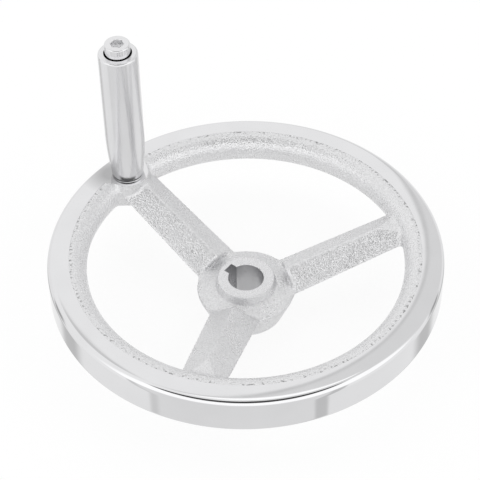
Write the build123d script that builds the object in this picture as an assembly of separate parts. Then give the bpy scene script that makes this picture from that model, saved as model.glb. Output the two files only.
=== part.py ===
from build123d import *
import math
import os

# A spoked machine handwheel with a revolving crank handle.
# Millimetres. Origin: centre of the bore on the hub's back face.
# +Z runs along the bore towards the operator. The wheel is dished: its rim stands in
# front of the hub, and the handle stands on the rim's turned front face.

# ---------------------------------------------------------------- rim
RIM_DIAMETER = 200.0
RIM_HEIGHT = 20.0
RIM_OFFSET = 24.5                   # rim's back face in front of the hub's back face
RIM_FRONT_CHAMFER = 1.2             # polished outer corners
RIM_BACK_CHAMFER = 1.2
RIM_WIDTH = 19.8                    # from the outside to the throat, the narrowest place inside
FRONT_FACE_WIDTH = 11.2             # turned front face, from the outside to the as-cast skin
CAST_SKIN_DROP = 0.15               # the as-cast skin lies this much below the turned face
BULGE_RADIUS = 7.8                  # from the front face round to the throat
FLANK_FOOT_WIDTH = 17.85            # behind the throat the inner side is drafted to here
FLANK_FOOT_HEIGHT = 6.3             # above the rim's back face
BEVEL_FOOT_WIDTH = 16.1             # and then bevelled twice to the back face
BEVEL_FOOT_HEIGHT = 4.5
BACK_FACE_WIDTH = 10.75
BACK_FACE_STEP = 3.0                # the turned back face stands proud of the as-cast skin

# ---------------------------------------------------------------- hub
BORE_DIAMETER = 18.0
BORE_CHAMFER = 0.35
HUB_LENGTH = 24.0
NOSE_DIAMETER = 29.2                # turned front boss of the hub
NOSE_ROOT_DIAMETER = 30.4
NOSE_HEIGHT = 4.2
NOSE_CHAMFER = 0.5
SHOULDER_DIAMETER = 51.0            # widest place of the hub
SHOULDER_DROP = 2.2                 # the shoulder falls this much from the nose outwards
SHOULDER_CHAMFER = 0.8
BELT_WIDTH = 2.0                    # nearly straight band under the shoulder
BELT_DIAMETER = 50.4
HUB_BACK_DIAMETER = 37.8
HUB_BACK_CHAMFER = 1.2
KEYWAY_WIDTH = 6.0
KEYWAY_DEPTH = 2.8                  # from the bore's wall
KEYWAY_AZIMUTH = 142.0

# ---------------------------------------------------------------- spokes
SPOKE_COUNT = 3
SPOKE_AZIMUTH = 134.6               # the first spoke carries the handle
SPOKE_HUB_WIDTH = 26.0              # across the edges at the hub's shoulder
SPOKE_RIM_WIDTH = 23.2              # across the edges at the rim's throat
RIDGE_AT_HUB = 26.3                 # ridge line at the shoulder's radius, above the hub's back
RIDGE_AT_RIM = 43.0                 # ridge line at the throat's radius
FLANK_ANGLE = 29.2                  # slope of each side of the roof
EDGE_HEIGHT = 0.5                   # the flanks end in narrow upright edges
UNDERSIDE_ANGLE = 22.0              # the back rises from its flat middle to the edges
SPOKE_BACK_WIDTH = 10.0             # flat middle of the back
RIDGE_ROUND = 1.2
RIDGE_CAP_DROP = 4.2                # the ridge ends in a facet this far below the front face
SPOKE_RIM_BLEND = 3.5               # plan radius where a spoke's edges run into the rim
RELIEF_DIAMETER = 48.0              # free space round the nose, where it meets the shoulder
RELIEF_ANGLE = 54.0                 # its slope where it cuts off the ridges

# ---------------------------------------------------------------- handle
HANDLE_AZIMUTH = 136.0              # drilled a little off the spoke's centre line
HANDLE_INSET = 14.9                 # its axis, from the rim's outside
PAD_DIAMETER = 21.5                 # boss under the handle, flush with the turned face
PAD_BLEND = 7.0                     # plan radius where the boss runs into the turned face
PAD_DEPTH = 14.8
PAD_DRAFT = 3.0
SLEEVE_LENGTH = 80.0
SLEEVE_DIAMETER = 20.2
SLEEVE_FOOT_DIAMETER = 16.3
SLEEVE_TAPER_LENGTH = 27.0
SLEEVE_FOOT_CHAMFER = 0.4
SLEEVE_TOP_CHAMFER = 0.9
SLEEVE_FOOT_GAP = 0.4
SLEEVE_HEAD_GAP = 0.3
COUNTERBORE_DIAMETER = 14.2
COUNTERBORE_DEPTH = 2.6
RUNNING_CLEARANCE = 0.08            # radial, sleeve on spacer
SPACER_DIAMETER = 10.0
SPACER_BORE = 8.4

# M8 x 90 hexagon socket head cap screw
SCREW_DIAMETER = 8.0
SCREW_LENGTH = 90.0
SCREW_HEAD_DIAMETER = 13.0
SCREW_HEAD_HEIGHT = 8.0
SCREW_HEAD_CHAMFER = 0.6
SCREW_SOCKET_FLATS = 6.0
SCREW_SOCKET_DEPTH = 4.0
SCREW_TIP_CHAMFER = 0.8
THREAD_ALLOWANCE = 0.05             # radial, plain shank in the plain tapped hole
TAPPED_DEPTH_SPARE = 1.0            # the tapped hole runs on past the screw's tip

# ---------------------------------------------------------------- worked out from the above
RIM_RADIUS = RIM_DIAMETER / 2
THROAT_RADIUS = RIM_RADIUS - RIM_WIDTH
FRONT_FACE_INNER_RADIUS = RIM_RADIUS - FRONT_FACE_WIDTH
BACK_FACE_INNER_RADIUS = RIM_RADIUS - BACK_FACE_WIDTH
HANDLE_PITCH_RADIUS = RIM_RADIUS - HANDLE_INSET
SHOULDER_RADIUS = SHOULDER_DIAMETER / 2
FRONT_FACE_Z = RIM_OFFSET + RIM_HEIGHT
NOSE_ROOT_Z = HUB_LENGTH - NOSE_HEIGHT
SHOULDER_Z = NOSE_ROOT_Z - SHOULDER_DROP
SLEEVE_FOOT_Z = FRONT_FACE_Z + SLEEVE_FOOT_GAP
SLEEVE_TOP_Z = SLEEVE_FOOT_Z + SLEEVE_LENGTH
HEAD_SEAT_Z = SLEEVE_TOP_Z - COUNTERBORE_DEPTH + SLEEVE_HEAD_GAP
SCREW_TIP_Z = HEAD_SEAT_Z - SCREW_LENGTH
HANDLE_PLACE = Rot(0, 0, HANDLE_AZIMUTH) * Pos(HANDLE_PITCH_RADIUS, 0, 0)


def along_spoke(radius, at_hub, at_rim):
    """A size that changes evenly from the hub's shoulder to the rim's throat."""
    share = (radius - SHOULDER_RADIUS) / (THROAT_RADIUS - SHOULDER_RADIUS)
    return at_hub + share * (at_rim - at_hub)


def rim():
    """Turned outside and faces, as-cast inner side with a bulging front and a drafted back."""
    skin_z = FRONT_FACE_Z - CAST_SKIN_DROP
    bulge = JernArc((THROAT_RADIUS + BULGE_RADIUS, skin_z), (-1, 0), BULGE_RADIUS, 90)
    outside = Polyline(
        bulge @ 1,
        (RIM_RADIUS - FLANK_FOOT_WIDTH, RIM_OFFSET + FLANK_FOOT_HEIGHT),
        (RIM_RADIUS - BEVEL_FOOT_WIDTH, RIM_OFFSET + BEVEL_FOOT_HEIGHT),
        (BACK_FACE_INNER_RADIUS, RIM_OFFSET + BACK_FACE_STEP),
        (BACK_FACE_INNER_RADIUS, RIM_OFFSET),
        (RIM_RADIUS, RIM_OFFSET),
        (RIM_RADIUS, FRONT_FACE_Z),
        (FRONT_FACE_INNER_RADIUS, FRONT_FACE_Z),
        (FRONT_FACE_INNER_RADIUS, skin_z),
        bulge @ 0,
    )
    section = make_face(Curve() + [bulge, outside])
    back_corner = section.vertices().group_by(Axis.X)[-1].sort_by(Axis.Y)[0]
    section = chamfer(back_corner, RIM_BACK_CHAMFER)
    front_corner = section.vertices().group_by(Axis.X)[-1].sort_by(Axis.Y)[-1]
    section = chamfer(front_corner, RIM_FRONT_CHAMFER)
    return revolve(Plane.XZ * section, Axis.Z)


def hub():
    """Turned nose, sloping shoulder, and a body that narrows to the back face."""
    section = make_face(
        Polyline(
            (0, 0),
            (HUB_BACK_DIAMETER / 2, 0),
            (BELT_DIAMETER / 2, SHOULDER_Z - BELT_WIDTH),
            (SHOULDER_RADIUS, SHOULDER_Z),
            (NOSE_ROOT_DIAMETER / 2, NOSE_ROOT_Z),
            (NOSE_DIAMETER / 2, HUB_LENGTH),
            (0, HUB_LENGTH),
            close=True,
        )
    )
    section = chamfer(section.vertices().sort_by(Axis.X)[-1], SHOULDER_CHAMFER)
    back_corner = section.vertices().group_by(Axis.Y)[0].sort_by(Axis.X)[-1]
    section = chamfer(back_corner, HUB_BACK_CHAMFER)
    nose_corner = section.vertices().group_by(Axis.Y)[-1].sort_by(Axis.X)[-1]
    section = chamfer(nose_corner, NOSE_CHAMFER)
    return revolve(Plane.XZ * section, Axis.Z)


def spoke_section(radius):
    """Section across a spoke: roof-shaped front, narrow edges, shallow hull-shaped back."""
    half = along_spoke(radius, SPOKE_HUB_WIDTH, SPOKE_RIM_WIDTH) / 2
    ridge = along_spoke(radius, RIDGE_AT_HUB, RIDGE_AT_RIM)
    eave = ridge - half * math.tan(math.radians(FLANK_ANGLE))
    edge_foot = eave - EDGE_HEIGHT
    back = edge_foot - (half - SPOKE_BACK_WIDTH / 2) * math.tan(math.radians(UNDERSIDE_ANGLE))
    # a thin flange beyond the edges is material for the blends at the rim
    side = [
        (half, eave),
        (half + SPOKE_RIM_BLEND, eave),
        (half + SPOKE_RIM_BLEND, edge_foot),
        (half, edge_foot),
        (SPOKE_BACK_WIDTH / 2, back),
    ]
    outline = Polyline((0, ridge), *side, *[(-y, z) for y, z in reversed(side)], close=True)
    return Plane.YZ.offset(radius) * make_face(outline)


def spoke_plan():
    """Plan of a spoke, flared by the blends at the rim."""
    hub_end = NOSE_DIAMETER / 4
    rim_end = FRONT_FACE_INNER_RADIUS
    hub_half = along_spoke(hub_end, SPOKE_HUB_WIDTH, SPOKE_RIM_WIDTH) / 2
    rim_half = along_spoke(rim_end, SPOKE_HUB_WIDTH, SPOKE_RIM_WIDTH) / 2
    strip = make_face(
        Polyline(
            (hub_end, -hub_half), (rim_end, -rim_half), (rim_end, rim_half), (hub_end, hub_half), close=True
        )
    )
    plan = strip + (Circle(rim_end + SPOKE_RIM_WIDTH / 2) - Circle(THROAT_RADIUS))
    corners = [v for v in plan.vertices() if abs(Vector(v).length - THROAT_RADIUS) < 0.01 and v.X > 0
               and abs(v.Y) < SPOKE_RIM_WIDTH]
    return fillet(corners, SPOKE_RIM_BLEND)


def spoke():
    """One spoke along +X, with the flat facet that ends its ridge at the rim."""
    roof = loft([spoke_section(NOSE_DIAMETER / 4), spoke_section(FRONT_FACE_INNER_RADIUS)], ruled=True)
    ridge = roof.edges().sort_by(lambda e: e.center().Z)[-1]
    roof = fillet(ridge, RIDGE_ROUND)
    return roof & extrude(spoke_plan(), FRONT_FACE_Z - RIDGE_CAP_DROP)


def nose_relief():
    """Space turned free round the hub's nose, which cuts off the inner ends of the spokes."""
    foot = RELIEF_DIAMETER / 2
    top_z = FRONT_FACE_Z
    run = (top_z - SHOULDER_Z) / math.tan(math.radians(RELIEF_ANGLE))
    outline = Polyline((0, 0), (foot, 0), (foot, SHOULDER_Z), (foot - run, top_z), (0, top_z), close=True)
    return revolve(Plane.XZ * make_face(outline), Axis.Z)


def handle_pad():
    """Drafted boss that carries the handle, flush with the turned face and blended into its edge."""
    pad = PAD_DIAMETER / 2
    ring = Circle((RIM_RADIUS + FRONT_FACE_INNER_RADIUS) / 2) - Circle(FRONT_FACE_INNER_RADIUS)
    plan = ring + Pos(HANDLE_PITCH_RADIUS, 0) * Circle(pad)
    corners = [v for v in plan.vertices() if abs(Vector(v).length - FRONT_FACE_INNER_RADIUS) < 0.01
               and v.X > HANDLE_PITCH_RADIUS / 2]
    plan = fillet(corners, PAD_BLEND)
    window = Pos(HANDLE_PITCH_RADIUS, 0) * Rectangle(2 * PAD_DIAMETER, 2 * PAD_DIAMETER)
    land = extrude(plan & window, THROAT_RADIUS - FRONT_FACE_INNER_RADIUS)
    draft = PAD_DEPTH * math.tan(math.radians(PAD_DRAFT))
    boss = Cone(pad + draft, pad, PAD_DEPTH, align=(Align.CENTER, Align.CENTER, Align.MAX))
    pad_place = Rot(0, 0, HANDLE_AZIMUTH) * Pos(0, 0, FRONT_FACE_Z)
    return pad_place * (land + Pos(HANDLE_PITCH_RADIUS, 0) * boss)


def bore():
    """Keyed bore with a small chamfer at each end."""
    radius = BORE_DIAMETER / 2
    wide = radius + BORE_CHAMFER
    outline = Polyline(
        (0, 0), (wide, 0), (radius, BORE_CHAMFER), (radius, HUB_LENGTH - BORE_CHAMFER), (wide, HUB_LENGTH),
        (0, HUB_LENGTH), close=True
    )
    hole = revolve(Plane.XZ * make_face(outline), Axis.Z)
    keyway = Box(
        radius + KEYWAY_DEPTH, KEYWAY_WIDTH, HUB_LENGTH, align=(Align.MIN, Align.CENTER, Align.MIN)
    )
    return hole + Rot(0, 0, KEYWAY_AZIMUTH) * keyway


def tapped_hole():
    """Blind hole in the pad for the handle's screw."""
    depth = FRONT_FACE_Z - SCREW_TIP_Z + TAPPED_DEPTH_SPARE
    hole = Cylinder(SCREW_DIAMETER / 2, depth, align=(Align.CENTER, Align.CENTER, Align.MAX))
    return HANDLE_PLACE * Pos(0, 0, FRONT_FACE_Z) * hole


def wheel_casting():
    """Rim, hub, spokes and handle pad: one casting, turned on its rim and hub."""
    spider = [Rot(0, 0, SPOKE_AZIMUTH + 360 / SPOKE_COUNT * n) * spoke() for n in range(SPOKE_COUNT)]
    relief = nose_relief()
    casting = rim() + hub()
    for arm in spider:
        casting += arm - relief
    casting += handle_pad()
    return casting - bore() - tapped_hole()


def handle_sleeve():
    """Turned grip: straight over most of its length, narrowing in a long curve to its foot."""
    radius = SLEEVE_DIAMETER / 2
    foot = SLEEVE_FOOT_DIAMETER / 2
    drop = radius - foot
    curve_radius = (SLEEVE_TAPER_LENGTH**2 + drop**2) / (2 * drop)
    taper = RadiusArc((foot, 0), (radius, SLEEVE_TAPER_LENGTH), -curve_radius)
    inner = SPACER_DIAMETER / 2 + RUNNING_CLEARANCE
    counterbore = COUNTERBORE_DIAMETER / 2
    rest = Polyline(
        taper @ 1,
        (radius, SLEEVE_LENGTH),
        (counterbore, SLEEVE_LENGTH),
        (counterbore, SLEEVE_LENGTH - COUNTERBORE_DEPTH),
        (inner, SLEEVE_LENGTH - COUNTERBORE_DEPTH),
        (inner, 0),
        taper @ 0,
    )
    section = make_face(Curve() + [taper, rest])
    foot_corner = section.vertices().group_by(Axis.Y)[0].sort_by(Axis.X)[-1]
    section = chamfer(foot_corner, SLEEVE_FOOT_CHAMFER)
    top_corner = section.vertices().group_by(Axis.Y)[-1].sort_by(Axis.X)[-1]
    section = chamfer(top_corner, SLEEVE_TOP_CHAMFER)
    return HANDLE_PLACE * Pos(0, 0, SLEEVE_FOOT_Z) * revolve(Plane.XZ * section, Axis.Z)


def handle_spacer():
    """Tube clamped between the screw's head and the pad; the sleeve turns on it."""
    length = HEAD_SEAT_Z - FRONT_FACE_Z
    base = (Align.CENTER, Align.CENTER, Align.MIN)
    tube = Cylinder(SPACER_DIAMETER / 2, length, align=base) - Cylinder(SPACER_BORE / 2, length, align=base)
    return HANDLE_PLACE * Pos(0, 0, FRONT_FACE_Z) * tube


def handle_screw():
    """Hexagon socket head cap screw that holds the handle."""
    shank = SCREW_DIAMETER / 2 - THREAD_ALLOWANCE
    head = SCREW_HEAD_DIAMETER / 2
    section = make_face(
        Polyline(
            (0, -SCREW_LENGTH), (shank, -SCREW_LENGTH), (shank, 0), (head, 0), (head, SCREW_HEAD_HEIGHT),
            (0, SCREW_HEAD_HEIGHT), close=True
        )
    )
    tip = section.vertices().group_by(Axis.Y)[0].sort_by(Axis.X)[-1]
    section = chamfer(tip, SCREW_TIP_CHAMFER)
    head_corner = section.vertices().group_by(Axis.Y)[-1].sort_by(Axis.X)[-1]
    section = chamfer(head_corner, SCREW_HEAD_CHAMFER)
    body = revolve(Plane.XZ * section, Axis.Z)
    hexagon = RegularPolygon(SCREW_SOCKET_FLATS / 2, 6, major_radius=False)
    socket = Pos(0, 0, SCREW_HEAD_HEIGHT - SCREW_SOCKET_DEPTH) * extrude(hexagon, SCREW_SOCKET_DEPTH)
    return HANDLE_PLACE * Pos(0, 0, HEAD_SEAT_Z) * (body - socket)


PIECES = {
    "wheel_casting": wheel_casting,
    "handle_sleeve": handle_sleeve,
    "handle_spacer": handle_spacer,
    "handle_screw": handle_screw,
}

os.makedirs("parts", exist_ok=True)
for name, make in PIECES.items():
    piece = make()
    piece.label = name
    export_step(piece, f"parts/{name}.step")
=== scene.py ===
"""A machine handwheel with a revolving crank handle, dressed in its solids' frame."""
import math

import bmesh
import bpy
from mathutils import Matrix, Vector


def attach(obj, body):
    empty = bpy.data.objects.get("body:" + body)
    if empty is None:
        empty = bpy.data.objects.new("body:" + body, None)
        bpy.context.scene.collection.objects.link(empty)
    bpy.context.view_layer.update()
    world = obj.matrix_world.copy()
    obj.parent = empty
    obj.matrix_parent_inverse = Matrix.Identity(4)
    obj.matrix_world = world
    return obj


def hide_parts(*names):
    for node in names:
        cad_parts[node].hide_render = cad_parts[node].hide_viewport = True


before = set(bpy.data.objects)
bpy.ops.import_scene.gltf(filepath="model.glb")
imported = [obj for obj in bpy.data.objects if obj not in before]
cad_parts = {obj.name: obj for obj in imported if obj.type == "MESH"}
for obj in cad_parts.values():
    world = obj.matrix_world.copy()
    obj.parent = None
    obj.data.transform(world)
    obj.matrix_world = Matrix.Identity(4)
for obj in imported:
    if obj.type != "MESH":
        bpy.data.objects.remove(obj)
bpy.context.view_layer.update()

MM = 0.001

# ------------------------------------------------------------------ sizes in millimetres
RIM_RADIUS = 100.0
RIM_BACK_Z = 24.5
FRONT_FACE_Z = 44.5
FRONT_CORNER = 3.4            # polished outer corners of the rim
CROWN_TILT = 5.5              # degrees; the polished face falls away towards its outer corner
BACK_CORNER = 1.8
FRONT_FACE_INNER = 88.8       # the turned front face ends here
BACK_FACE_INNER = 89.25
CAST_SKIN_Z = 44.35
THROAT_RADIUS = 80.2
BULGE_RADIUS = 7.8
RING_ROOT_RADIUS = 90.5       # the polished ring is let into the casting down to here
HUB_LENGTH = 24.0
HUB_BACK_RADIUS = 18.3
HUB_BELT_Z = 15.6             # the nearly straight band round the hub starts here
SHOULDER_RADIUS = 25.5        # widest place of the hub
SHOULDER_Z = 17.6
NOSE_RADIUS = 14.4            # turned front boss of the hub
NOSE_ROOT_RADIUS = 15.7
NOSE_ROOT_Z = 19.8
BORE_RADIUS = 9.0
BORE_CHAMFER = 0.35
KEYWAY_REACH = 11.8           # from the bore's axis to the bottom of the keyway
KEYWAY_WIDTH = 6.0
SPOKE_HALF_AT_HUB = 13.0
SPOKE_HALF_AT_RIM = 11.6
RIDGE_AT_HUB = 26.3
RIDGE_AT_RIM = 43.0
RIDGE_CAP_Z = 39.8            # the ridge ends in a flat facet at this height
FLANK_ANGLE = 29.2            # degrees; slope of each side of a spoke's roof
UNDERSIDE_ANGLE = 22.0        # degrees; the back rises from its flat middle to the edges
SPOKE_EDGE = 0.5              # upright edges of the spokes
SPOKE_BACK_HALF = 5.0
RELIEF_RADIUS = 24.0          # free space round the nose
RELIEF_ANGLE = 54.0           # degrees
HANDLE_X, HANDLE_Y = -61.216, 59.115
HANDLE_AXIS = Vector((HANDLE_X, HANDLE_Y)) * MM
PAD_RADIUS = 10.75            # boss under the handle
PAD_BACK_Z = 29.7
PAD_DRAFT = 3.0               # degrees
DISH_RADIUS = 8.3             # a shallow hollow of the face starts here, round the handle's foot
DISH_DEPTH = 0.45
SLEEVE_FOOT_Z = 44.9
SLEEVE_LENGTH = 80.0
SLEEVE_RADIUS = 10.1
SLEEVE_FOOT_RADIUS = 8.15
SLEEVE_TAPER = 27.0           # length of the curved lower part of the sleeve
SLEEVE_BORE_RADIUS = 5.08
COUNTERBORE_RADIUS = 7.1
COUNTERBORE_Z = 77.4          # its floor, above the sleeve's foot
HEAD_SEAT_Z = 122.6
HEAD_HEIGHT = 8.0
HEAD_RADIUS = 6.5
SHANK_RADIUS = 3.95
SHANK_LENGTH = 90.0
SOCKET_HALF = 3.0             # half the hexagon's width across its flats
SPOKE_AZIMUTH = 134.6
KEYWAY_AZIMUTH = 142.0
SOCKET_TURN = math.radians(-8.0)


# ------------------------------------------------------------------ node tree helpers
def node(tree, kind, **settings):
    made = tree.nodes.new(kind)
    for name, value in settings.items():
        setattr(made, name, value)
    return made


def feed(tree, socket, value):
    """Links a socket, or sets its value."""
    if isinstance(value, Measure):
        value = value.socket
    if isinstance(value, bpy.types.NodeSocket):
        tree.links.new(value, socket)
    else:
        socket.default_value = value


class Measure:
    """A number that a node tree works out at every point of a piece."""

    def __init__(self, tree, socket):
        self.tree = tree
        self.socket = socket

    def math(self, operation, *others):
        made = node(self.tree, "ShaderNodeMath", operation=operation)
        for socket, value in zip(made.inputs, (self, *others)):
            feed(self.tree, socket, value)
        return Measure(self.tree, made.outputs[0])

    def __add__(self, other):
        return self.math("ADD", other)

    def __sub__(self, other):
        return self.math("SUBTRACT", other)

    def __rsub__(self, other):
        return -self + other

    def __mul__(self, other):
        return self.math("MULTIPLY", other)

    def __rmul__(self, other):
        return self.math("MULTIPLY", other)

    def __truediv__(self, other):
        return self.math("DIVIDE", other)

    def __neg__(self):
        return self.math("MULTIPLY", -1.0)

    def least(self, floor=0.0):
        return self.math("MAXIMUM", floor)

    def most(self, ceiling):
        return self.math("MINIMUM", ceiling)

    def size(self):
        return self.math("ABSOLUTE")

    def root(self):
        return self.math("SQRT")

    def band(self, low, high, soft):
        """1 between low and high, fading to 0 over soft at each side."""
        faded = []
        for edge, start in ((low, 0.0), (high, 1.0)):
            ramp = node(self.tree, "ShaderNodeMapRange", interpolation_type="SMOOTHSTEP")
            feed(self.tree, ramp.inputs["Value"], self)
            feed(self.tree, ramp.inputs["From Min"], edge - soft)
            feed(self.tree, ramp.inputs["From Max"], edge + soft)
            feed(self.tree, ramp.inputs["To Min"], start)
            feed(self.tree, ramp.inputs["To Max"], 1.0 - start)
            faded.append(Measure(self.tree, ramp.outputs[0]))
        return faded[0] * faded[1]

    def cut(self, other, blend):
        """Inside both, with the meeting edge rounded."""
        return self.math("SMOOTH_MAX", other, blend)

    def join(self, other, blend):
        """Inside either, with a fillet in the meeting corner."""
        return self.math("SMOOTH_MIN", other, blend)


def coordinates(tree, place, unit=1.0):
    """The three coordinates of a point of the tree, divided by the unit."""
    parts = node(tree, "ShaderNodeSeparateXYZ")
    feed(tree, parts.inputs[0], place)
    measures = [Measure(tree, socket) for socket in parts.outputs]
    return measures if unit == 1.0 else [measure / unit for measure in measures]


def geometry_tree(name, inputs):
    """A geometry node tree with named inputs; returns the tree and the sockets of its inputs."""
    tree = bpy.data.node_groups.new(name, "GeometryNodeTree")
    tree.interface.new_socket("Geometry", in_out="INPUT", socket_type="NodeSocketGeometry")
    for label, kind, value in inputs:
        made = tree.interface.new_socket(label, in_out="INPUT", socket_type="NodeSocket" + kind)
        if value is not None:
            made.default_value = value
    tree.interface.new_socket("Geometry", in_out="OUTPUT", socket_type="NodeSocketGeometry")
    return tree, node(tree, "NodeGroupInput").outputs


def finish_tree(tree, geometry, material):
    """Ends a geometry node tree: instances made real, finish set."""
    realize = node(tree, "GeometryNodeRealizeInstances")
    feed(tree, realize.inputs["Geometry"], geometry)
    paint = node(tree, "GeometryNodeSetMaterial")
    feed(tree, paint.inputs["Geometry"], realize.outputs["Geometry"])
    feed(tree, paint.inputs["Material"], material)
    out = node(tree, "NodeGroupOutput")
    feed(tree, out.inputs[0], paint.outputs["Geometry"])


def new_piece(name, points=(), edges=(), faces=()):
    """A mesh object of this name in the scene."""
    mesh = bpy.data.meshes.new(name)
    mesh.from_pydata(points, edges, faces)
    piece = bpy.data.objects.new(name, mesh)
    bpy.context.scene.collection.objects.link(piece)
    return piece


def settle(piece):
    """Replaces a piece's mesh by what its modifiers make of it, and removes them."""
    bpy.context.view_layer.update()
    seen = piece.evaluated_get(bpy.context.evaluated_depsgraph_get())
    mesh = bpy.data.meshes.new_from_object(seen)
    piece.modifiers.clear()
    piece.data = mesh


def grow(piece, tree, **values):
    """Makes a piece's mesh from a tree, with the tree's named inputs set."""
    made = piece.modifiers.new("form", "NODES")
    made.node_group = tree
    sockets = {s.name: s for s in tree.interface.items_tree if s.in_out == "INPUT"}
    for label, value in values.items():
        made[sockets[label.replace("_", " ")].identifier] = value
    settle(piece)
    for face in piece.data.polygons:
        face.material_index = 0
    if piece.data.materials[0] is None:
        piece.data.materials.pop(index=0)
    return piece


# ------------------------------------------------------------------ turned pieces
def turned_tree():
    """Turns the profile, a chain of points (radius, 0, height), round an upright axis."""
    tree, given = geometry_tree("turned_piece", [
        ("Segments", "Int", 256), ("Axis X", "Float", 0.0), ("Axis Y", "Float", 0.0),
        ("Finish", "Material", None)])
    count = node(tree, "GeometryNodeAttributeDomainSize", component="MESH")
    feed(tree, count.inputs[0], given["Geometry"])
    points = Measure(tree, count.outputs["Point Count"])
    segments = Measure(tree, given["Segments"])
    grid = node(tree, "GeometryNodeMeshGrid")
    feed(tree, grid.inputs["Vertices X"], segments + 1.0)
    feed(tree, grid.inputs["Vertices Y"], points)
    index = Measure(tree, node(tree, "GeometryNodeInputIndex").outputs[0])
    step = index.math("MODULO", points)
    turn = (index / points).math("FLOOR") / segments * math.tau
    place = node(tree, "GeometryNodeInputPosition")
    sample = node(tree, "GeometryNodeSampleIndex", data_type="FLOAT_VECTOR", domain="POINT")
    feed(tree, sample.inputs["Geometry"], given["Geometry"])
    feed(tree, sample.inputs["Value"], place.outputs[0])
    feed(tree, sample.inputs["Index"], step)
    radius, _, level = coordinates(tree, sample.outputs[0])
    spot = node(tree, "ShaderNodeCombineXYZ")
    feed(tree, spot.inputs["X"], radius * turn.math("COSINE") + given["Axis X"])
    feed(tree, spot.inputs["Y"], radius * turn.math("SINE") + given["Axis Y"])
    feed(tree, spot.inputs["Z"], level)
    move = node(tree, "GeometryNodeSetPosition")
    feed(tree, move.inputs["Geometry"], grid.outputs["Mesh"])
    feed(tree, move.inputs["Position"], spot.outputs[0])
    weld = node(tree, "GeometryNodeMergeByDistance")
    feed(tree, weld.inputs["Geometry"], move.outputs["Geometry"])
    feed(tree, weld.inputs["Distance"], 1e-6)
    finish_tree(tree, weld.outputs["Geometry"], given["Finish"])
    return tree


def rounded(corners, closed=True):
    """Points of a profile with rounded corners; each corner is (radius, height, rounding).

    A point beside each arc keeps the shading of the long faces next to it flat.
    """
    points = []
    count = len(corners)
    for i, (x, z, rounding) in enumerate(corners):
        here = Vector((x, z))
        if rounding <= 0 or (not closed and i in (0, count - 1)):
            points.append(here)
            continue
        before = (Vector(corners[i - 1][:2]) - here).normalized()
        after = (Vector(corners[(i + 1) % count][:2]) - here).normalized()
        half = before.angle(after) / 2
        start = here + before * rounding / math.tan(half)
        centre = here + (before + after).normalized() * rounding / math.sin(half)
        sweep = math.pi - 2 * half
        arm = start - centre
        sense = 1 if (start - centre).cross(here - centre) > 0 else -1
        steps = max(2, math.ceil(math.degrees(sweep) / (12 if rounding > 0.5 else 30)))
        beside = min(0.25, rounding)
        points.append(start + before * beside)
        for k in range(steps + 1):
            a = sense * sweep * k / steps
            points.append(centre + Vector((arm.x * math.cos(a) - arm.y * math.sin(a),
                                           arm.x * math.sin(a) + arm.y * math.cos(a))))
        points.append(points[-1] + after * beside)
    return points


def crowned_corner():
    """Points of the rim's front from its outer corner over the polished, slightly crowned face."""
    tilt = math.radians(CROWN_TILT)
    end = RIM_RADIUS - FRONT_CORNER * (1 - math.sin(tilt))
    width = end - FRONT_FACE_INNER
    drop = width * math.tan(tilt) / 2
    centre_z = FRONT_FACE_Z - drop - FRONT_CORNER * math.cos(tilt)
    points = [(RIM_RADIUS, centre_z - 0.3, 0)]
    for k in range(11):
        a = (math.pi / 2 - tilt) * k / 10
        points.append((RIM_RADIUS - FRONT_CORNER * (1 - math.cos(a)),
                       centre_z + FRONT_CORNER * math.sin(a), 0))
    for k in range(1, 8):
        share = 1 - k / 8
        points.append((FRONT_FACE_INNER + width * share, FRONT_FACE_Z - drop * share ** 2, 0))
    return points


def turned(name, corners, finish, x=0.0, y=0.0, base=0.0, segments=256, closed=True):
    """A turned piece; its profile runs counter-clockwise, up on the outer side, so faces look outward."""
    points = rounded(corners, closed)
    if closed:
        points.append(points[0])
    profile = new_piece(name, [(p.x * MM, 0.0, (p.y + base) * MM) for p in points],
                        [(i, i + 1) for i in range(len(points) - 1)])
    return grow(profile, TURNED, Segments=segments, Axis_X=x * MM, Axis_Y=y * MM, Finish=finish)


# ------------------------------------------------------------------ the as-cast body
def slope_face(x, z, x0, z0, x1, z1):
    """How far a point lies to the left of the straight line from 0 to 1 in a profile."""
    length = math.hypot(x1 - x0, z1 - z0)
    return (x - x0) * ((z0 - z1) / length) + (z - z0) * ((x1 - x0) / length)


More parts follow.
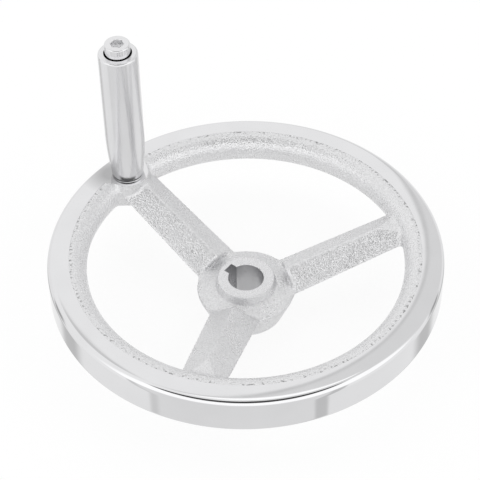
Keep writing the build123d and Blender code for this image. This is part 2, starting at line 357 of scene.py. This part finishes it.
def cast_tree():
    """Rim, hub, spokes and handle boss as cast: one skin with fillets in its corners."""
    tree, given = geometry_tree("cast_body", [
        ("Spokes", "Int", 3), ("Spoke Azimuth", "Float", SPOKE_AZIMUTH),
        ("Rim Fillet", "Float", 2.4), ("Hub Fillet", "Float", 2.4), ("Boss Fillet", "Float", 4.0),
        ("Sand", "Float", 0.03), ("Fineness", "Float", 0.82), ("Finish", "Material", None)])
    place = node(tree, "GeometryNodeInputPosition")
    x, y, z = coordinates(tree, place.outputs[0], MM)
    r = (x * x + y * y).root()

    # rim: bulging front, drafted flank and two bevels behind it
    across = (THROAT_RADIUS + BULGE_RADIUS - r).least()
    above = (z - (CAST_SKIN_Z - BULGE_RADIUS)).least()
    rim = (across * across + above * above).root() - BULGE_RADIUS
    throat = (THROAT_RADIUS, CAST_SKIN_Z - BULGE_RADIUS)
    flank_foot, bevel_foot, back_foot = (82.15, 30.8), (83.9, 29.0), (BACK_FACE_INNER, 27.5)
    for first, last in ((flank_foot, throat), (bevel_foot, flank_foot), (back_foot, bevel_foot)):
        rim = rim.cut(slope_face(r, z, *first, *last), 1.2)
    rim = rim.cut(r - 94.0, 0.0)

    # hub: drafted body, belt and sloping shoulder
    belt, shoulder = (25.2, HUB_BELT_Z), (SHOULDER_RADIUS, SHOULDER_Z)
    hub = slope_face(r, z, *belt, 18.9, 0.0)
    hub = hub.cut(slope_face(r, z, *shoulder, *belt), 1.0)
    hub = hub.cut(slope_face(r, z, 15.2, NOSE_ROOT_Z, *shoulder), 2.0)
    hub = hub.cut(0.15 - z, 1.5)

    # spokes: roof-shaped front, narrow edges, shallow back
    pitch = Measure(tree, given["Spokes"]).math("POWER", -1.0) * math.tau
    turn = y.math("ARCTAN2", x) - Measure(tree, given["Spoke Azimuth"]).math("RADIANS")
    turn = turn.math("WRAP", pitch * 0.5, pitch * -0.5)
    along = r * turn.math("COSINE")
    side = (r * turn.math("SINE")).size()
    share = (along - SHOULDER_RADIUS) / (THROAT_RADIUS - SHOULDER_RADIUS)
    half = share * (SPOKE_HALF_AT_RIM - SPOKE_HALF_AT_HUB) + SPOKE_HALF_AT_HUB
    ridge = share * (RIDGE_AT_RIM - RIDGE_AT_HUB) + RIDGE_AT_HUB
    fall = math.tan(math.radians(FLANK_ANGLE))
    rise = (RIDGE_AT_RIM - RIDGE_AT_HUB) / (THROAT_RADIUS - SHOULDER_RADIUS)
    roof = (side * side + 0.16).root() * fall + z - ridge
    spoke = roof / math.sqrt(1 + fall ** 2 + rise ** 2)
    spoke = spoke.cut(side - half, 0.9)
    foot = ridge - half * fall - SPOKE_EDGE
    lift = math.tan(math.radians(UNDERSIDE_ANGLE))
    under = (foot - (half - side) * lift - z) / math.sqrt(1 + lift ** 2 + rise ** 2)
    spoke = spoke.cut(under, 0.8)
    flat = (foot - (half - SPOKE_BACK_HALF) * lift - z) / math.sqrt(1 + rise ** 2)
    spoke = spoke.cut(flat, 1.0)
    spoke = spoke.cut(z - RIDGE_CAP_Z, 0.2)
    lean = 1 / math.tan(math.radians(RELIEF_ANGLE))
    relief = (RELIEF_RADIUS - (z - SHOULDER_Z).least() * lean - r) / math.sqrt(1 + lean ** 2)
    spoke = spoke.cut(relief, 5.0)
    spoke = spoke.cut(along - 90.0, 0.0)
    spoke = spoke.cut(along * -1.0, 0.0)

    # boss under the handle
    dx, dy = x - HANDLE_X, y - HANDLE_Y
    reach = (dx * dx + dy * dy).root()
    draft = math.radians(PAD_DRAFT)
    boss = (reach - PAD_RADIUS - (FRONT_FACE_Z - z) * math.tan(draft)) * math.cos(draft)
    boss = boss.cut(PAD_BACK_Z - z, 1.5)
    boss = boss.cut(z - FRONT_FACE_Z - 2.0, 0.0)

    body = rim.join(boss, given["Boss Fillet"])
    body = body.join(spoke, given["Rim Fillet"])
    body = body.join(hub, given["Hub Fillet"])
    body = body.cut(12.5 - r, 0.0)
    lumps = node(tree, "ShaderNodeTexNoise")
    feed(tree, lumps.inputs["Vector"], place.outputs[0])
    feed(tree, lumps.inputs["Scale"], 500.0)
    feed(tree, lumps.inputs["Detail"], 3.0)
    sand = (Measure(tree, lumps.outputs[0]) - 0.5) * given["Sand"]
    body = body + sand

    cell = Measure(tree, given["Fineness"])
    low, high = Vector((-96.0, -96.0, -1.0)), Vector((96.0, 96.0, 48.0))
    block = node(tree, "GeometryNodeVolumeCube")
    feed(tree, block.inputs["Density"], body * -1.0)
    feed(tree, block.inputs["Background"], -1.0)
    feed(tree, block.inputs["Min"], low * MM)
    feed(tree, block.inputs["Max"], high * MM)
    for axis, span in zip("XYZ", high - low):
        feed(tree, block.inputs["Resolution " + axis], (span * cell.math("POWER", -1.0)).math("ROUND"))
    skin = node(tree, "GeometryNodeVolumeToMesh")
    feed(tree, skin.inputs["Volume"], block.outputs["Volume"])
    feed(tree, skin.inputs["Threshold"], 0.0)
    finish_tree(tree, skin.outputs["Mesh"], given["Finish"])
    return tree


def carve(piece, other, operation):
    """Joins another closed piece to this one, or cuts it away, and removes the other."""
    made = piece.modifiers.new("carve", "BOOLEAN")
    made.object = other
    made.operation = operation
    made.solver = "MANIFOLD"
    made.material_mode = "TRANSFER"
    settle(piece)
    bpy.data.objects.remove(other)


def smooth_shade(piece, degrees=38):
    """Shades smoothly, but sharp at corners and where two finishes meet."""
    piece.data.shade_smooth()
    piece.data.set_sharp_from_angle(angle=math.radians(degrees))
    shell = bmesh.new()
    shell.from_mesh(piece.data)
    for edge in shell.edges:
        if len({face.material_index for face in edge.link_faces}) > 1:
            edge.smooth = False
    shell.to_mesh(piece.data)
    shell.free()


def finish_part(piece, material, chosen):
    """Gives a finish of their own to the faces that are chosen."""
    piece.data.materials.append(material)
    slot = len(piece.data.materials) - 1
    for face in piece.data.polygons:
        if chosen(face):
            face.material_index = slot


# ------------------------------------------------------------------ finishes
def plain_material(name):
    """A new material, its node tree and its main shader."""
    material = bpy.data.materials.new(name)
    material.use_nodes = True
    return material, material.node_tree, material.node_tree.nodes["Principled BSDF"]


def chrome(name, colour, rough_low, rough_high, grain, grain_depth, fleck=0.93, dirt_and_shade=None, metal=1.0):
    """A metal finish: fine grain turns the light about, and shade and gloss drift a little.

    Fleck is the shade of the grain's low places; the darkening mask, if given, is a function that marks real
    dirt in one finish and painted shade in another.
    """
    material, tree, shader = plain_material(name)
    shader.inputs["Metallic"].default_value = metal
    where = node(tree, "ShaderNodeTexCoord").outputs["Object"]
    noise = node(tree, "ShaderNodeTexNoise")
    feed(tree, noise.inputs["Vector"], where)
    feed(tree, noise.inputs["Scale"], grain)
    feed(tree, noise.inputs["Detail"], 1.0)
    drift = node(tree, "ShaderNodeTexNoise")
    feed(tree, drift.inputs["Vector"], where)
    feed(tree, drift.inputs["Scale"], 90.0)
    spread = node(tree, "ShaderNodeMapRange")
    feed(tree, spread.inputs["Value"], drift.outputs[0])
    feed(tree, spread.inputs["From Min"], 0.3)
    feed(tree, spread.inputs["From Max"], 0.7)
    feed(tree, spread.inputs["To Min"], rough_low)
    feed(tree, spread.inputs["To Max"], rough_high)
    feed(tree, shader.inputs["Roughness"], spread.outputs[0])
    tint = node(tree, "ShaderNodeMix", data_type="RGBA")
    feed(tree, tint.inputs["Factor"], noise.outputs[0])
    feed(tree, tint.inputs["A"], (*[c * fleck for c in colour], 1))
    feed(tree, tint.inputs["B"], (*colour, 1))
    shown = tint.outputs["Result"]
    # darkens towards near-black where the mask is: real dirt in one finish, painted shade in another
    if dirt_and_shade:
        darkened = node(tree, "ShaderNodeMix", data_type="RGBA")
        feed(tree, darkened.inputs["Factor"], dirt_and_shade(tree, where))
        feed(tree, darkened.inputs["A"], shown)
        feed(tree, darkened.inputs["B"], (0.10, 0.10, 0.10, 1))
        shown = darkened.outputs["Result"]
    feed(tree, shader.inputs["Base Color"], shown)
    bump = node(tree, "ShaderNodeBump")
    feed(tree, bump.inputs["Height"], noise.outputs[0])
    feed(tree, bump.inputs["Distance"], grain_depth * MM)
    feed(tree, shader.inputs["Normal"], bump.outputs[0])
    return material


def seam_dirt(tree, where):
    """Dark specks in the cast skin along the inner edge of the turned face."""
    x, y, z = coordinates(tree, where, MM)
    radius = (x * x + y * y).root()
    specks = node(tree, "ShaderNodeTexNoise")
    feed(tree, specks.inputs["Vector"], where)
    feed(tree, specks.inputs["Scale"], 650.0)
    feed(tree, specks.inputs["Detail"], 2.0)
    seam = radius.band(87.4, 90.0, 1.1) * z.band(43.4, 60.0, 0.3)
    return Measure(tree, specks.outputs[0]).band(0.60, 2.0, 0.05) * seam * 0.65


def handle_painted_shade(tree, where):
    """Painted shade on the polished face, outside the handle's foot: a painted shadow and reflection of the
    handle, darkest near the foot.
    """
    x, y, z = coordinates(tree, where, MM)
    east, north = x + 70.0, y - 58.0
    away = (east * east + north * north).root()
    return ((16.0 - away) / 12.0).least().most(1.0) * z.band(43.5, 60.0, 0.5) * 0.49


# the polished face carries painted shade near the handle's foot: a painted shadow and reflection of the
# handle
POLISHED = chrome("polished_chrome", (0.80, 0.80, 0.81), 0.04, 0.08, 60.0, 0.02, dirt_and_shade=handle_painted_shade)
FACED = chrome("faced_chrome", (0.82, 0.82, 0.83), 0.16, 0.22, 1150.0, 0.20, fleck=0.80)
# partly painted shade: the bore's machined iron is darker than chrome, and its colour also stands in for the
# little light inside the bore
BORED_AND_SHADED = chrome("bored_iron_and_shade", (0.56, 0.56, 0.57), 0.30, 0.42, 700.0, 0.10)
# painted shade: a near-black finish that stands in for the shadow inside the sleeve's counterbore
SHADED = chrome("painted_shade_black", (0.03, 0.03, 0.03), 0.45, 0.60, 700.0, 0.05)
AS_CAST = chrome("as_cast_chrome", (0.93, 0.93, 0.94), 0.26, 0.32, 1150.0, 0.44, fleck=0.70, dirt_and_shade=seam_dirt,
                 metal=0.65)
BUFFED = chrome("buffed_chrome", (0.80, 0.80, 0.81), 0.20, 0.26, 60.0, 0.02)
STEEL = chrome("drawn_steel", (0.60, 0.60, 0.61), 0.25, 0.35, 500.0, 0.02)

# ------------------------------------------------------------------ camera
camera = bpy.data.objects.new("camera", bpy.data.cameras.new("camera"))
bpy.context.scene.collection.objects.link(camera)
bpy.context.scene.camera = camera
AIM_YAW, AIM_FALL, ROLL = (math.radians(a) for a in (-0.2271, 45.3766, -1.2968))
forward = Vector((math.sin(AIM_YAW) * math.cos(AIM_FALL), math.cos(AIM_YAW) * math.cos(AIM_FALL),
                  -math.sin(AIM_FALL)))
right = forward.cross(Vector((0, 0, 1))).normalized()
up = right.cross(forward)
rolled_right = right * math.cos(ROLL) + up * math.sin(ROLL)
rolled_up = up * math.cos(ROLL) - right * math.sin(ROLL)
turn = Matrix((rolled_right, rolled_up, -forward)).transposed()
camera.matrix_world = Matrix.Translation(Vector((0.0, -0.5984, 0.6571))) @ turn.to_4x4()
camera.data.sensor_width = 36.0
camera.data.lens = 127.592
camera.data.shift_x = -0.5 / 480
camera.data.shift_y = 0.5 / 480
camera.data.clip_end = 20.0

# ------------------------------------------------------------------ pieces
TURNED = turned_tree()

# the wheel: its cast body with the turned ring of the rim and the turned core of the hub let in
rim_ring = turned("rim_ring", [
    (RIM_RADIUS, RIM_BACK_Z, BACK_CORNER), *crowned_corner(),
    (FRONT_FACE_INNER, FRONT_FACE_Z, 0.12), (FRONT_FACE_INNER, 43.0, 0), (RING_ROOT_RADIUS, 42.0, 0),
    (RING_ROOT_RADIUS, 30.0, 0), (BACK_FACE_INNER, 29.0, 0), (BACK_FACE_INNER, RIM_BACK_Z, 0.3)],
    POLISHED, segments=384)
mouth = BORE_RADIUS + BORE_CHAMFER
hub_core = turned("hub_core", [
    (mouth, 0, 0), (HUB_BACK_RADIUS, 0, 0.8), (18.6, 3.0, 0), (14.0, 8.0, 0), (14.0, 18.0, 0),
    (15.3, 19.3, 0), (NOSE_ROOT_RADIUS, NOSE_ROOT_Z, 0), (NOSE_RADIUS, HUB_LENGTH, 0.5),
    (mouth, HUB_LENGTH, 0), (BORE_RADIUS, HUB_LENGTH - BORE_CHAMFER, 0), (BORE_RADIUS, BORE_CHAMFER, 0)],
    AS_CAST, segments=192)
# the bore's faces get the darker finish: machined iron with painted shade of the bore's inside
finish_part(hub_core, BORED_AND_SHADED, lambda face: face.center.xy.length < (BORE_RADIUS + 0.1) * MM)
finish_part(hub_core, FACED, lambda face: face.normal.z > 0.99 and face.center.z > 23 * MM)
key_turn = Matrix.Rotation(math.radians(KEYWAY_AZIMUTH), 4, "Z")
key_half = KEYWAY_WIDTH / 2
keyway = new_piece("keyway", [key_turn @ Vector((x * MM, y * MM, z * MM))
                              for x in (0, KEYWAY_REACH) for y in (-key_half, key_half) for z in (-2, 26)],
                   faces=[(0, 1, 3, 2), (4, 6, 7, 5), (0, 4, 5, 1), (2, 3, 7, 6), (0, 2, 6, 4), (1, 5, 7, 3)])
keyway.data.materials.append(STEEL)
carve(hub_core, keyway, "DIFFERENCE")
casting = grow(new_piece("wheel"), cast_tree(), Finish=AS_CAST)
carve(casting, rim_ring, "UNION")
carve(casting, hub_core, "UNION")
hollow = [(DISH_RADIUS + 1.1 * k, FRONT_FACE_Z - DISH_DEPTH * (1 - k / 12) ** 2, 0) for k in range(13)]
face_cut = turned("face_cut", [(0, FRONT_FACE_Z, 0), (DISH_RADIUS - 0.1, FRONT_FACE_Z, 0), *hollow,
                               (30, FRONT_FACE_Z, 0), (30, 52, 0), (0, 52, 0)],
                  POLISHED, x=HANDLE_X, y=HANDLE_Y, segments=128, closed=False)
carve(casting, face_cut, "DIFFERENCE")
smooth_shade(casting)
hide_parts("wheel_casting")
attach(casting, "wheel")

# the grip that revolves
waist = SLEEVE_RADIUS - SLEEVE_FOOT_RADIUS
sleeve_curve = (SLEEVE_TAPER ** 2 + waist ** 2) / (2 * waist)
taper = [(SLEEVE_RADIUS - sleeve_curve + math.sqrt(sleeve_curve ** 2 - (SLEEVE_TAPER - z) ** 2), z, 0)
         for z in (1.5 * k for k in range(1, 19))]
sleeve = turned("grip_sleeve", [
    (SLEEVE_BORE_RADIUS, 0, 0), (SLEEVE_FOOT_RADIUS, 0, 0.4), *taper, (SLEEVE_RADIUS, 60.0, 0),
    (SLEEVE_RADIUS, SLEEVE_LENGTH, 1.2), (COUNTERBORE_RADIUS, SLEEVE_LENGTH, 0.15),
    (COUNTERBORE_RADIUS, COUNTERBORE_Z, 0), (SLEEVE_BORE_RADIUS, COUNTERBORE_Z, 0)],
    BUFFED, x=HANDLE_X, y=HANDLE_Y, base=SLEEVE_FOOT_Z, segments=192)
# the counterbore's faces get the near-black painted shade
finish_part(sleeve, SHADED,
            lambda face: (face.center.xy - HANDLE_AXIS).length < (COUNTERBORE_RADIUS + 0.05) * MM
            and face.center.z > (SLEEVE_FOOT_Z + COUNTERBORE_Z - 0.4) * MM)
smooth_shade(sleeve)
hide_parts("handle_sleeve")
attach(sleeve, "handle")

# the cap screw down its middle
screw = turned("cap_screw", [
    (0, -SHANK_LENGTH, 0), (3.3, -SHANK_LENGTH, 0), (SHANK_RADIUS, 0.7 - SHANK_LENGTH, 0),
    (SHANK_RADIUS, 0, 0), (HEAD_RADIUS, 0, 0.3), (HEAD_RADIUS, HEAD_HEIGHT, 0.8),
    (SOCKET_HALF + 0.25, HEAD_HEIGHT, 0), (SOCKET_HALF, HEAD_HEIGHT - 0.3, 0),
    (SOCKET_HALF, 5.6, 0), (SOCKET_HALF - 0.4, 5.4, 0), (0, 4.9, 0)],
    POLISHED, x=HANDLE_X, y=HANDLE_Y, base=HEAD_SEAT_Z, segments=96, closed=False)
# the round socket is drawn out to a hexagon
for vertex in screw.data.vertices:
    arm = vertex.co.xy - HANDLE_AXIS
    if 2.5 * MM < arm.length < 3.3 * MM and vertex.co.z > (HEAD_SEAT_Z + 3.5) * MM:
        facet = (math.atan2(arm.y, arm.x) - SOCKET_TURN) % (math.pi / 3) - math.pi / 6
        vertex.co.xy = HANDLE_AXIS + arm / math.cos(facet)
finish_part(screw, AS_CAST, lambda face: (face.center.xy - HANDLE_AXIS).length < 3.6 * MM
            and (HEAD_SEAT_Z + 3) * MM < face.center.z < (HEAD_SEAT_Z + HEAD_HEIGHT - 0.01) * MM)
smooth_shade(screw)
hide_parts("handle_screw")
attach(screw, "wheel")

# the spacer is shown as its own solid
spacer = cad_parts["handle_spacer"]
spacer.data.materials.clear()
spacer.data.materials.append(STEEL)

# ------------------------------------------------------------------ floor and world
floor = new_piece("floor", [(-6, -6, 0), (6, -6, 0), (6, 6, 0), (-6, 6, 0)], faces=[(0, 1, 2, 3)])
floor.location.z = -0.0002
material, tree, shader = plain_material("floor")
tree.nodes.remove(shader)
out = tree.nodes["Material Output"]
diffuse = node(tree, "ShaderNodeBsdfDiffuse")
diffuse.inputs["Color"].default_value = (0.92, 0.92, 0.92, 1)
glow = node(tree, "ShaderNodeEmission")
glow.inputs["Strength"].default_value = 1.03
rays = node(tree, "ShaderNodeLightPath")
seen = Measure(tree, rays.outputs["Is Camera Ray"]).math("MAXIMUM", rays.outputs["Is Glossy Ray"])
mix = node(tree, "ShaderNodeMixShader")
feed(tree, mix.inputs[0], seen * 0.85)
feed(tree, mix.inputs[1], diffuse.outputs[0])
feed(tree, mix.inputs[2], glow.outputs[0])
feed(tree, out.inputs["Surface"], mix.outputs[0])
floor.data.materials.append(material)
floor.visible_glossy = False

world = bpy.data.worlds.new("studio")
bpy.context.scene.world = world
world.use_nodes = True
tree = world.node_tree


def oval(turn, height, turn_mid, height_mid, turn_half, height_half):
    """0 in the middle of an oval part of the sky, 1 on its edge."""
    across = (turn - turn_mid) / turn_half
    upward = (height - height_mid) / height_half
    return (across * across + upward * upward).root()


def shade(light, where, level):
    """Brings the light to a level where the mask is 1."""
    return light + where * (level - light)


way = node(tree, "ShaderNodeTexCoord")
east, north, height = coordinates(tree, way.outputs["Generated"])
elevation = height.math("ARCSINE").math("DEGREES")
front = east.math("ARCTAN2", -north).math("DEGREES")     # 0 straight before the object, 90 to its right
back = east.math("ARCTAN2", north).math("DEGREES")       # 0 straight behind it
light = elevation * 0.0 + 1.0
# below the horizon, and behind the object near it
light = shade(light, elevation.band(-100, -30, 15), 0.93)
light = shade(light, back.band(-75, 75, 12) * elevation.band(-35, 20, 8), 0.95)
# a bright window behind on the left, with its dark frame and the wall to its right
window = oval(back, elevation, -15.0, 35.0, 28.2, 27.7)
right_wall = elevation.band(12, 100, 5) * back.band(-20, 200, 8)
light = shade(light, window.band(1.0, 20.0, 0.04) * right_wall, 0.83)
light = shade(light, window.band(1.0, 1.07, 0.05) * right_wall, 0.68)
# a lamp and a grey patch high behind
light = shade(light, oval(back, elevation, 12.0, 71.0, 34.0, 9.0).band(-1.0, 1.0, 0.15), 1.3)
light = shade(light, oval(back, elevation, -28.0, 55.0, 10.0, 7.0).band(-1.0, 1.0, 0.3), 0.72)
# grey table edges at both sides
light = shade(light, back.size().band(42, 62, 6) * elevation.band(-70, -22, 6), 0.60)
light = shade(light, back.size().band(66, 76, 3) * elevation.band(-22, 8, 5), 0.45)
# in front: a grey sheet with darker edges low down, a bright sheet above it, a dark card on top
low_front = elevation.band(-100, 6, 8)
light = shade(light, front.band(-60, 48, 1.0) * low_front, 0.85)
light = shade(light, front.band(-60, -55, 2.0) * low_front, 0.72)
light = shade(light, front.band(40, 48, 1.5) * low_front, 0.64)
light = shade(light, front.band(-75, 90, 10) * elevation.band(10, 60, 5), 1.28)
light = shade(light, oval(front, elevation, -1.0, 66.0, 77.0, 15.0).band(-1.0, 1.0, 0.10), 0.08)
rays = node(tree, "ShaderNodeLightPath")
light = shade(light, Measure(tree, rays.outputs["Is Camera Ray"]), 1.0)
background = tree.nodes["Background"]
background.inputs["Color"].default_value = (1, 1, 1, 1)
feed(tree, background.inputs["Strength"], light)

bpy.context.scene.view_settings.view_transform = "Standard"
